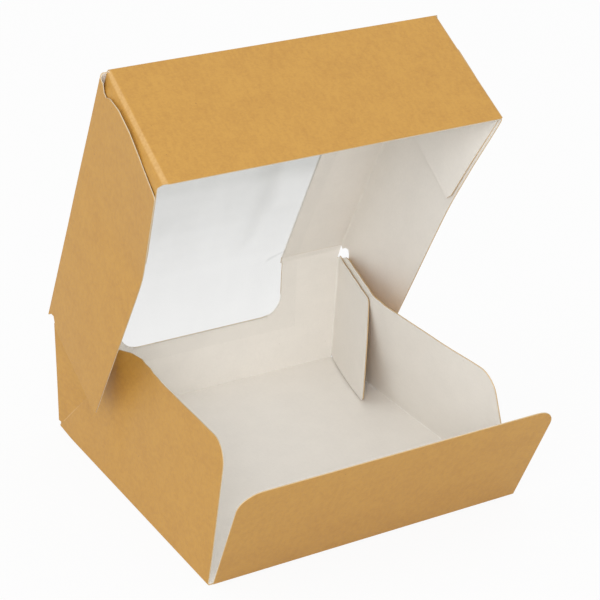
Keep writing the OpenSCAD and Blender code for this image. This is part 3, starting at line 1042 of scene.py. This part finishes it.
def mix_colour(tree, factor, first, second):
    node = new_node(tree, "ShaderNodeMix", data_type="RGBA")
    for socket, value in ((node.inputs[0], factor), (node.inputs[6], first), (node.inputs[7], second)):
        if isinstance(value, bpy.types.NodeSocket):
            tree.links.new(value, socket)
        else:
            socket.default_value = value
    return node.outputs[2]


def ramp(tree, value, low, high, start=0.0, end=1.0):
    """Runs from start at low to end at high, and stays level past them."""
    return new_node(tree, "ShaderNodeMapRange", {0: value, 1: low, 2: high, 3: start, 4: end}).outputs[0]


def noise_node(tree, place, scale, detail, roughness=0.5, turn=0.0):
    """Noise at a place. A scale of two numbers draws it out, in a direction given by turn."""
    if isinstance(scale, tuple):
        turned = {"Vector": place, "Rotation": (0, 0, turn), "Scale": (*scale, 1)}
        place, scale = new_node(tree, "ShaderNodeMapping", turned).outputs[0], 1
    look = {"Vector": place, "Scale": scale, "Detail": detail, "Roughness": roughness}
    return new_node(tree, "ShaderNodeTexNoise", look).outputs[0]


def attribute_node(tree, name):
    return new_node(tree, "ShaderNodeAttribute", attribute_name=name).outputs["Fac"]


def rgba(colour):
    return (*colour, 1.0)


def board_grain():
    """Node group: the look of pressed fibres, read from a place on the sheet in metres."""
    group = bpy.data.node_groups.new("Board grain", "ShaderNodeTree")
    group.interface.new_socket("Vector", in_out="INPUT", socket_type="NodeSocketVector")
    for name in ("Cloud", "Mottle", "Grain", "Fibre", "Fleck"):
        group.interface.new_socket(name, in_out="OUTPUT", socket_type="NodeSocketFloat")
    place = new_node(group, "NodeGroupInput").outputs["Vector"]
    fibre = 0.0
    for turn in FIBRE_TURNS:
        line = ramp(group, noise_node(group, place, *FIBRE, turn), *FIBRE_SPAN)
        fibre = math_node(group, "MAXIMUM", line, fibre)
    cells = new_node(group, "ShaderNodeTexVoronoi", {"Vector": place, "Scale": FLECK_SCALE, "Randomness": 1})
    pick = new_node(group, "ShaderNodeSeparateColor", {0: cells.outputs["Color"]})
    size = ramp(group, pick.outputs[0], *FLECK_PICK, 0.0, FLECK_SIZE)
    near = math_node(group, "SUBTRACT", size, cells.outputs["Distance"])
    new_node(group, "NodeGroupOutput", {
        "Cloud": noise_node(group, place, *CLOUD), "Mottle": noise_node(group, place, *MOTTLE),
        "Grain": noise_node(group, place, *GRAIN), "Fibre": fibre, "Fleck": ramp(group, near, 0.0, FLECK_SOFT),
    })
    return group


def new_material(name):
    """A material with only a Principled shader, its node tree and that shader."""
    material = bpy.data.materials.new(name)
    material.use_nodes = True
    tree = material.node_tree
    return material, tree, tree.nodes["Principled BSDF"]


def add_bump(tree, shader, height, distance, strength):
    bump = new_node(tree, "ShaderNodeBump", {"Height": height, "Distance": distance, "Strength": strength})
    tree.links.new(bump.outputs[0], shader.inputs["Normal"])


def add_up(tree, grain, weights, total=0.0):
    """Total, plus the grain's values times their weights."""
    for name, weight in weights.items():
        total = math_node(tree, "ADD", math_node(tree, "MULTIPLY", grain.outputs[name], weight), total)
    return total


def face_material(name, group, dark, light, look):
    """One face of the board: its tone from the grain, with flecks, and along the creases wear with a painted
    highlight on the kraft and painted shade on the lining.
    """
    material, tree, shader = new_material(name)
    sheet = new_node(tree, "ShaderNodeUVMap", uv_map="Sheet")
    grain = new_node(tree, "ShaderNodeGroup", {"Vector": sheet.outputs[0]}, node_tree=group)
    tone = ramp(tree, add_up(tree, grain, look.tone), *look.span)
    colour = mix_colour(tree, tone, rgba(dark), rgba(light))
    flecks = math_node(tree, "MULTIPLY", grain.outputs["Fleck"], look.flecked)
    colour = mix_colour(tree, flecks, colour, rgba(look.fleck))
    # Along the creases: wear and a painted highlight on the kraft, painted shade on the lining.
    crease_wear_highlight_and_shade = math_node(tree, "MULTIPLY", attribute_node(tree, "crease"), add_up(tree, grain, *look.crease_wear_highlight_and_shade_by))
    tree.links.new(mix_colour(tree, crease_wear_highlight_and_shade, colour, rgba(look.crease_wear_highlight_and_shade)), shader.inputs["Base Color"])
    rough = ramp(tree, grain.outputs[look.rough_by], *NOISE_SPAN, *look.rough)
    tree.links.new(rough, shader.inputs["Roughness"])
    add_bump(tree, shader, add_up(tree, grain, look.height), *look.bump)
    return material


def cut_edge_material(name, finish):
    """The cut edge: brown, with a ragged pale line beside the lining, and painted light at the window's sides, near
    white against the shade of the film over them.
    """
    material, tree, shader = new_material(name)
    place = new_node(tree, "ShaderNodeTexCoord").outputs["Object"]
    fray = noise_node(tree, place, *FRAY)
    inward = attribute_node(tree, "inward")
    ragged = math_node(tree, "ADD", inward, math_node(tree, "MULTIPLY", fray, FRAY_SHARE))
    colour = mix_colour(tree, ramp(tree, ragged, *PALE_SPAN), rgba(finish.cut_edge), rgba(finish.edge_pale))
    # Painted light: the window's cut sides go near white, against the shade the film casts on them.
    colour = mix_colour(tree, ramp(tree, inward, *WINDOW_PAINTED_LIGHT_SPAN), colour, rgba(WINDOW_EDGE_PAINTED_LIGHT))
    tree.links.new(colour, shader.inputs["Base Color"])
    shader.inputs["Roughness"].default_value = EDGE_ROUGH
    add_bump(tree, shader, fray, *EDGE_BUMP)
    return material


def board_materials(context):
    """The board's materials in the order of their slots, made for the first piece that asks."""
    made = [bpy.data.materials.get(name) for name in BOARD_MATERIALS]
    if all(made):
        return made
    finish, group, names = context.scene.box_finish, board_grain(), BOARD_MATERIALS
    shade = [c * LINING_SHADE for c in finish.lining]
    return [
        face_material(names[KRAFT_SLOT], group, finish.kraft_dark, finish.kraft, KRAFT_LOOK),
        face_material(names[LINING_SLOT], group, shade, finish.lining, LINING_LOOK),
        cut_edge_material(names[CUT_SLOT], finish),
    ]


def film_material(context):
    finish = context.scene.box_finish
    material, tree, shader = new_material("Window film")
    noise_in = noise_node(tree, new_node(tree, "ShaderNodeUVMap").outputs[0], *FILM_NOISE)
    share = ramp(tree, noise_in, *NOISE_SPAN, *(finish.film_haze_and_shade * part for part in FILM_VARIES))
    # Alpha from the film's haze with its painted shade and light, varied by noise.
    tree.links.new(math_node(tree, "MULTIPLY", attribute_node(tree, "haze_and_shade"), share), shader.inputs["Alpha"])
    tint = mix_colour(tree, noise_in, rgba(finish.film), rgba([c * FILM_SHADE for c in finish.film]))
    tree.links.new(tint, shader.inputs["Base Color"])
    shader.inputs["Roughness"].default_value = FILM_ROUGH
    shader.inputs["IOR"].default_value = FILM_IOR
    add_bump(tree, shader, noise_in, *FILM_BUMP)
    return material


def floor_material(stage):
    """White to the camera, with the object's shadow kept."""
    material, tree, shader = new_material("Stage floor")
    output = tree.nodes["Material Output"]
    shader.inputs["Base Color"].default_value = rgba(stage.floor)
    shader.inputs["Roughness"].default_value = FLOOR_ROUGH
    shader.inputs["Specular IOR Level"].default_value = 0.0
    path = new_node(tree, "ShaderNodeLightPath")
    seen = math_node(tree, "MAXIMUM", path.outputs["Is Camera Ray"], path.outputs["Is Glossy Ray"])
    seen = math_node(tree, "MAXIMUM", seen, path.outputs["Is Transmission Ray"])
    white = new_node(tree, "ShaderNodeEmission", {"Color": (1, 1, 1, 1), "Strength": FLOOR_WHITE})
    share = math_node(tree, "MULTIPLY", seen, FLOOR_SHARE)
    mix = new_node(tree, "ShaderNodeMixShader", {0: share, 1: shader.outputs[0], 2: white.outputs[0]})
    tree.links.new(mix.outputs[0], output.inputs["Surface"])
    return material


def add_lamp(name, place, size, power):
    """A soft round lamp that points at the box."""
    lamp = bpy.data.lights.new(name, "AREA")
    lamp.shape = "DISK"
    lamp.size = size
    lamp.energy = power
    obj = bpy.data.objects.new(name, lamp)
    obj.location = place
    obj.rotation_euler = (Vector(LAMP_AIM) - Vector(place)).to_track_quat("-Z", "Y").to_euler()
    bpy.context.scene.collection.objects.link(obj)


class BOX_OT_stage(Operator):
    """Sets the pale floor, the soft lamps, the room's light and the camera"""

    bl_idname = "takeaway.stage"
    bl_label = "Stage"

    def execute(self, context):
        stage, scene = context.scene.box_stage, context.scene
        bm = bmesh.new()
        bmesh.ops.create_grid(bm, x_segments=1, y_segments=1, size=FLOOR_HALF)
        bmesh.ops.translate(bm, vec=(0, 0, -FLOOR_DROP), verts=bm.verts[:])
        floor = new_object("stage_floor", bm, [floor_material(stage)])

        world = bpy.data.worlds.new("Soft room")
        world.use_nodes = True
        tree = world.node_tree
        path = new_node(tree, "ShaderNodeLightPath")
        seen = math_node(tree, "MAXIMUM", path.outputs["Is Camera Ray"], path.outputs["Is Transmission Ray"])
        room = tree.nodes["Background"]
        room.inputs["Color"].default_value = (1, 1, 1, 1)
        tree.links.new(ramp(tree, seen, 0.0, 1.0, stage.sky), room.inputs["Strength"])
        scene.world = world

        add_lamp("Key lamp", KEY_PLACE, KEY_SIZE, stage.key)
        add_lamp("Side lamp", SIDE_PLACE, SIDE_SIZE, stage.side)

        az, el, roll = stage.azimuth, stage.elevation, stage.roll
        back = Vector((sin(az) * cos(el), -cos(az) * cos(el), sin(el)))
        right = (-back).cross(Z).normalized()
        up = right.cross(-back)
        right_rolled = cos(roll) * right + sin(roll) * up
        up_rolled = cos(roll) * up - sin(roll) * right
        camera = bpy.data.objects.new("Camera", bpy.data.cameras.new("Camera"))
        camera.data.lens = stage.lens
        camera.data.sensor_width = SENSOR_MM
        camera.data.clip_start, camera.data.clip_end = CLIP
        turned = Matrix((right_rolled, up_rolled, back)).transposed().to_4x4()
        turned.translation = Vector(stage.aim) + stage.distance * back
        camera.matrix_world = turned
        scene.collection.objects.link(camera)
        scene.camera = camera
        scene.view_settings.view_transform = "Standard"
        return {"FINISHED"}


class BOX_PT_sidebar(Panel):
    """Lists the box's sizes, finishes and pieces"""

    bl_idname = "BOX_PT_sidebar"
    bl_label = "Takeaway box"
    bl_space_type = "VIEW_3D"
    bl_region_type = "UI"
    bl_category = "Takeaway box"

    def draw(self, context):
        for group in (context.scene.box_sizes, context.scene.box_finish, context.scene.box_stage):
            column = self.layout.column(align=True)
            for name in group.__annotations__:
                column.prop(group, name)
        for operator in OPERATORS:
            self.layout.operator(operator.bl_idname)


OPERATORS = (BOX_OT_tray, BOX_OT_front_wall, BOX_OT_lid, BOX_OT_window, BOX_OT_stage)
CLASSES = (BoxSizes, BoxFinish, BoxStage, *OPERATORS, BOX_PT_sidebar)


def register():
    for cls in CLASSES:
        bpy.utils.register_class(cls)
    bpy.types.Scene.box_sizes = PointerProperty(type=BoxSizes)
    bpy.types.Scene.box_finish = PointerProperty(type=BoxFinish)
    bpy.types.Scene.box_stage = PointerProperty(type=BoxStage)


def unregister():
    del bpy.types.Scene.box_stage, bpy.types.Scene.box_finish, bpy.types.Scene.box_sizes
    for cls in reversed(CLASSES):
        bpy.utils.unregister_class(cls)


def main():
    register()
    bpy.ops.takeaway.tray()
    bpy.ops.takeaway.front_wall()
    bpy.ops.takeaway.lid()
    bpy.ops.takeaway.window()
    bpy.ops.takeaway.stage()


if __name__ == "__main__":
    main()
